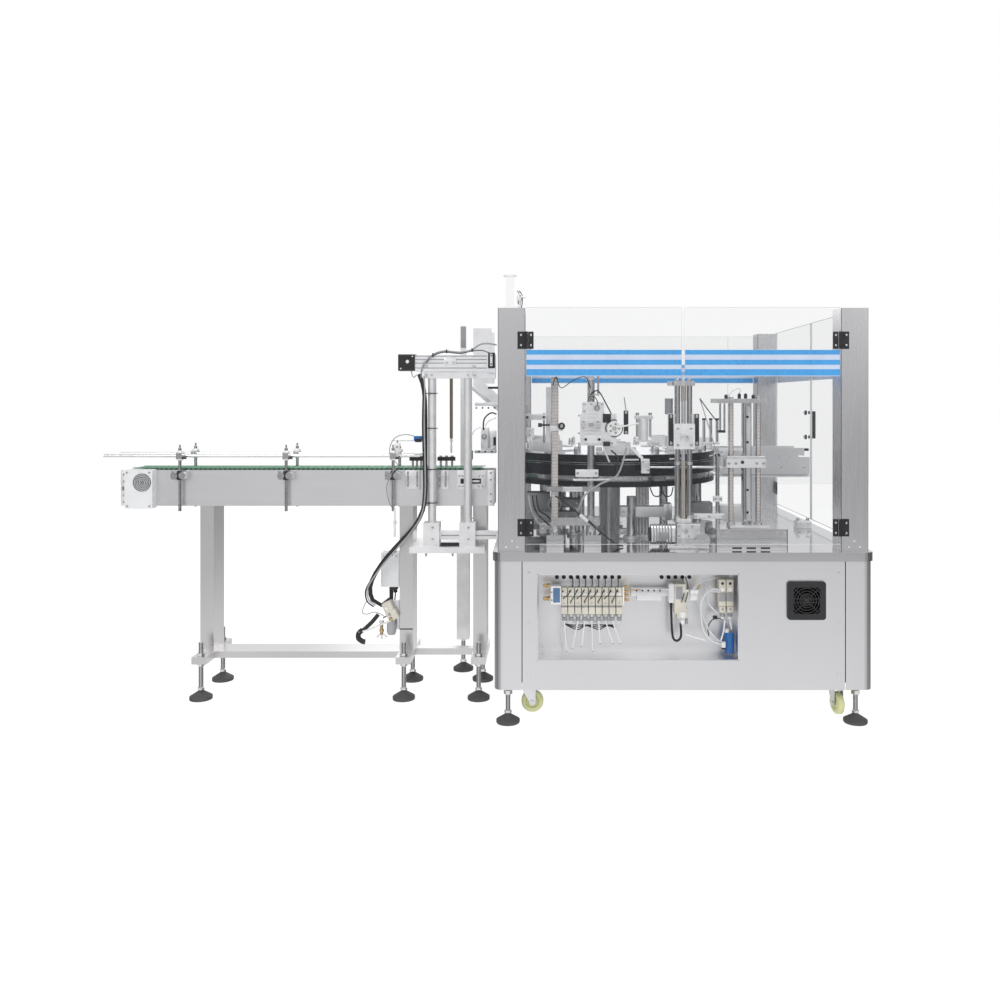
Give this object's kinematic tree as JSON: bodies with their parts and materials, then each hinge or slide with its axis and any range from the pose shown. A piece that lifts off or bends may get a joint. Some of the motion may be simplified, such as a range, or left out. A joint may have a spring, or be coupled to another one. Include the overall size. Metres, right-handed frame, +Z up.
{
  "type": "cartoning machine",
  "caption": "Rotary cartoning machine: guarded turret on a stainless cabinet, flat-belt infeed conveyor and pick-and-place gantry.",
  "frame": {"origin": "on the floor below the middle of the whole machine's bounding box", "axes": "+X to the right along the infeed's travel, +Y back from the front doors, +Z up"},
  "size_m": [2.7442, 1.3142, 1.5139],
  "materials": {
    "brushed_stainless": "brushed stainless sheet",
    "table_stainless": "polished stainless table",
    "post_stainless": "brushed stainless folded posts",
    "clear_acrylic": "clear acrylic sheet with blue bands",
    "black_metal": "black coated metal",
    "foot_rubber": "dark grey rubber base on a steel stud",
    "plated_steel": "bright plated steel",
    "pale_tyre": "pale yellow-green polyurethane",
    "black_plastic": "black moulded plastic",
    "valve_body": "beige and grey valve bodies",
    "grey_casting": "grey machined casting",
    "black_plate": "gloss black anodised plate",
    "aluminium": "machined aluminium",
    "white_block": "white machined plastic",
    "white_cover": "pale painted cover",
    "belt_green": "dark modular chain with green edges",
    "rail_steel": "polished round rail",
    "bronze_rod": "dull bronze rod",
    "cable_black": "black cable sheath"
  },
  "bodies": {
    "machine": {"cabinet_shell": "brushed_stainless", "front_panel": "brushed_stainless", "table_top": "table_stainless", "front_left_post": "post_stainless", "front_right_post": "post_stainless", "back_left_post": "post_stainless", "back_right_post": "post_stainless", "rear_guard_pane": "clear_acrylic", "left_guard_pane": "clear_acrylic", "left_lower_hinge": "black_metal", "left_upper_hinge": "black_metal", "right_lower_hinge": "black_metal", "right_upper_hinge": "black_metal", "front_left_foot": "foot_rubber", "front_right_foot": "foot_rubber", "back_left_foot": "foot_rubber", "back_right_foot": "foot_rubber", "fan_guard": "black_plastic", "valve_manifold": "valve_body", "index_drive": "grey_casting", "turret_column": "plated_steel", "pusher_frame": "aluminium", "press_frame": "aluminium", "folder_frame": "aluminium", "outfeed_trough": "brushed_stainless", "carton_magazine": "aluminium", "beacon": "clear_acrylic", "conveyor_channel": "brushed_stainless", "conveyor_belt": "belt_green", "conveyor_stand": "brushed_stainless", "drive_cover": "white_cover", "front_guide_rail": "rail_steel", "rear_guide_rail": "rail_steel", "gantry_frame": "aluminium", "gantry_motor": "black_metal", "control_box": "white_cover", "gantry_cable": "cable_black"},
    "turret": {"turret_drum": "black_plate", "turret_disc": "black_plate"},
    "left_door": {"front_left_door": "clear_acrylic"},
    "right_door": {"front_right_door": "clear_acrylic"},
    "side_front": {"side_front_door": "clear_acrylic"},
    "side_rear": {"side_rear_door": "clear_acrylic", "side_door_handle": "black_metal"},
    "fan": {"fan_rotor": "black_plastic"},
    "handwheel": {"pusher_handwheel": "plated_steel"},
    "pusher": {"pusher_carriage": "white_block"},
    "press": {"press_carriage": "aluminium"},
    "head": {"folder_head": "aluminium"},
    "feeder": {"feed_wheel": "white_block"},
    "belt_drive": {"drive_shaft": "plated_steel"},
    "belt_idler": {"idler_shaft": "plated_steel"},
    "cross_slide": {"gantry_carriage": "aluminium"},
    "pick": {"pick_rod": "bronze_rod"},
    "left_swivel": {"front_left_fork": "plated_steel"},
    "left_roller": {"front_left_wheel": "pale_tyre"},
    "right_swivel": {"front_right_fork": "plated_steel"},
    "right_roller": {"front_right_wheel": "pale_tyre"},
    "rear_left_roller": {"back_left_wheel": "pale_tyre"},
    "rear_right_roller": {"back_right_wheel": "pale_tyre"}
  },
  "joints": [
    {"name": "turret_spin", "type": "hinge", "parent": "machine", "child": "turret", "pos_m": [0.51885, -0.04885, 0.8], "axis": [0, 0, 1], "continuous": true},
    {"name": "front_left_door_hinge", "type": "hinge", "parent": "machine", "child": "left_door", "pos_m": [0.19885, -0.64215, 1], "axis": [0, 0, -1], "range_deg": [0, 110]},
    {"name": "front_right_door_hinge", "type": "hinge", "parent": "machine", "child": "right_door", "pos_m": [1.24785, -0.64215, 1], "axis": [0, 0, 1], "range_deg": [0, 110]},
    {"name": "side_front_door_hinge", "type": "hinge", "parent": "machine", "child": "side_front", "pos_m": [1.34915, -0.54405, 1], "axis": [0, 0, -1], "range_deg": [0, 110]},
    {"name": "side_rear_door_hinge", "type": "hinge", "parent": "machine", "child": "side_rear", "pos_m": [1.34915, 0.54635, 1], "axis": [0, 0, 1], "range_deg": [0, 110]},
    {"name": "fan_spin", "type": "hinge", "parent": "machine", "child": "fan", "pos_m": [1.13135, -0.64885, 0.4225], "axis": [0, 1, 0], "continuous": true},
    {"name": "handwheel_turn", "type": "hinge", "parent": "machine", "child": "handwheel", "pos_m": [0.79685, -0.58885, 0.612], "axis": [0, 1, 0], "range_deg": [-1440, 1440]},
    {"name": "pusher_lift", "type": "slide", "parent": "machine", "child": "pusher", "axis": [0, 0, 1], "range_m": [-0.04, 0.04]},
    {"name": "press_lift", "type": "slide", "parent": "machine", "child": "press", "axis": [0, 0, 1], "range_m": [-0.19, 0.18]},
    {"name": "folder_lift", "type": "slide", "parent": "machine", "child": "head", "axis": [0, 0, 1], "range_m": [-0.1, 0.1]},
    {"name": "feed_wheel_spin", "type": "hinge", "parent": "head", "child": "feeder", "pos_m": [0.49985, -0.54885, 0.992], "axis": [0, 1, 0], "continuous": true},
    {"name": "belt_drive_spin", "type": "hinge", "parent": "machine", "child": "belt_drive", "pos_m": [-1.22415, -0.30885, 0.776], "axis": [0, 1, 0], "continuous": true},
    {"name": "belt_idler_spin", "type": "hinge", "parent": "machine", "child": "belt_idler", "pos_m": [-0.01415, -0.30885, 0.776], "axis": [0, 1, 0], "continuous": true},
    {"name": "gantry_cross", "type": "slide", "parent": "machine", "child": "cross_slide", "axis": [1, 0, 0], "range_m": [-0.08, 0.11]},
    {"name": "pick_drop", "type": "slide", "parent": "cross_slide", "child": "pick", "axis": [0, 0, 1], "range_m": [-0.045, 0]},
    {"name": "left_caster_swivel", "type": "hinge", "parent": "machine", "child": "left_swivel", "pos_m": [0.19585, -0.56685, 0.145], "axis": [0, 0, 1], "continuous": true},
    {"name": "left_caster_roll", "type": "hinge", "parent": "left_swivel", "child": "left_roller", "pos_m": [0.21785, -0.56685, 0.0615], "axis": [0, -1, 0], "continuous": true},
    {"name": "right_caster_swivel", "type": "hinge", "parent": "machine", "child": "right_swivel", "pos_m": [1.25085, -0.56685, 0.145], "axis": [0, 0, 1], "continuous": true},
    {"name": "right_caster_roll", "type": "hinge", "parent": "right_swivel", "child": "right_roller", "pos_m": [1.25422, -0.58859, 0.0615], "axis": [-0.9882, -0.153, 0], "continuous": true},
    {"name": "rear_left_caster_roll", "type": "hinge", "parent": "machine", "child": "rear_left_roller", "pos_m": [0.19585, 0.54715, 0.0615], "axis": [1, 0, 0], "continuous": true},
    {"name": "rear_right_caster_roll", "type": "hinge", "parent": "machine", "child": "rear_right_roller", "pos_m": [1.25085, 0.54715, 0.0615], "axis": [1, 0, 0], "continuous": true}
  ],
  "couplings": [
    {"joint": "handwheel_turn", "follows": "pusher_lift", "rad_per_m": 628.32},
    {"joint": "belt_idler_spin", "follows": "belt_drive_spin", "ratio": 1}
  ]
}
